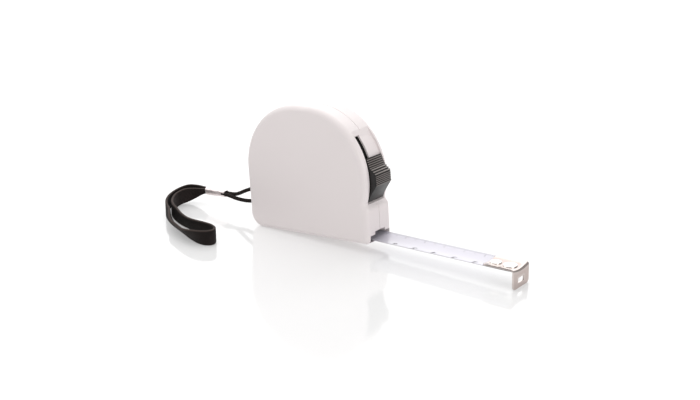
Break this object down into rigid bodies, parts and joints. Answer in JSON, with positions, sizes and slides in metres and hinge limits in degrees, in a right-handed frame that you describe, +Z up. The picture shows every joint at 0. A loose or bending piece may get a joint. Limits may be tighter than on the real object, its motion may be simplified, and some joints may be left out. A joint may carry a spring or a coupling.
{
  "type": "tape measure",
  "caption": "Pocket tape measure with a white split case, sprung reel, steel blade with riveted end hook, sliding lock button and a looped wrist strap.",
  "frame": {"origin": "middle of the footprint, on the table that the case's heel and the hook's tip rest on", "axes": "+X along the pulled-out blade, away from the case; +Y towards the side with the screws; +Z up"},
  "size_m": [0.1874, 0.052, 0.0615],
  "materials": {
    "case_white": "fine satin moulded ABS, warm white",
    "lock_black": "satin moulded black",
    "blade_paint": "white lacquered spring steel, printed scale",
    "hook_nickel": "bright nickel plate",
    "rivet_nickel": "bright nickel plate",
    "steel": "zinc plated",
    "spring_steel": "blued strip",
    "nylon": "natural nylon",
    "drum_plastic": "plain moulded grey",
    "shoe_rubber": "plain",
    "strap_black": "woven nylon",
    "ferrule_metal": "satin crimped tube"
  },
  "bodies": {
    "case": {"case_plain_shell": "case_white", "case_screw_shell": "case_white", "case_screws": "steel", "centre_post": "steel", "reel_washers": "nylon", "strap_eye_pin": "steel", "strap_cord": "strap_black", "strap_ferrule": "ferrule_metal", "strap_webbing": "strap_black"},
    "reel": {"reel_drum": "drum_plastic", "drum_cover": "drum_plastic", "blade_coil": "blade_paint", "mainspring": "spring_steel", "spring_clip": "steel"},
    "lock": {"lock_button": "lock_black", "lock_slider": "lock_black", "brake_shoe": "shoe_rubber"},
    "blade": {"blade_front": "blade_paint", "blade_run": "blade_paint"},
    "hook": {"end_hook": "hook_nickel", "hook_rivet_front": "rivet_nickel", "hook_rivet_rear": "rivet_nickel", "hook_backing_plate": "steel"}
  },
  "joints": [
    {"name": "blade_slide", "type": "slide", "parent": "case", "child": "blade", "axis": [0.9998, 0, 0.0209], "range_m": [-0.0685, 2.9298], "deforming": ["blade_run"]},
    {"name": "hook_play", "type": "slide", "parent": "blade", "child": "hook", "axis": [0.9998, 0, 0.0209], "range_m": [-0.0007, 0]},
    {"name": "reel_turn", "type": "hinge", "parent": "case", "child": "reel", "pos_m": [-0.03588, 0, 0.02875], "axis": [0, -1, 0], "continuous": true, "deforming": ["mainspring"]},
    {"name": "lock_slide", "type": "hinge", "parent": "case", "child": "lock", "pos_m": [-0.033, 0, 0.03055], "axis": [0, -1, 0], "range_deg": [0, 18]}
  ],
  "couplings": [
    {"joint": "reel_turn", "follows": "blade_slide", "rad_per_m": 45.981}
  ]
}
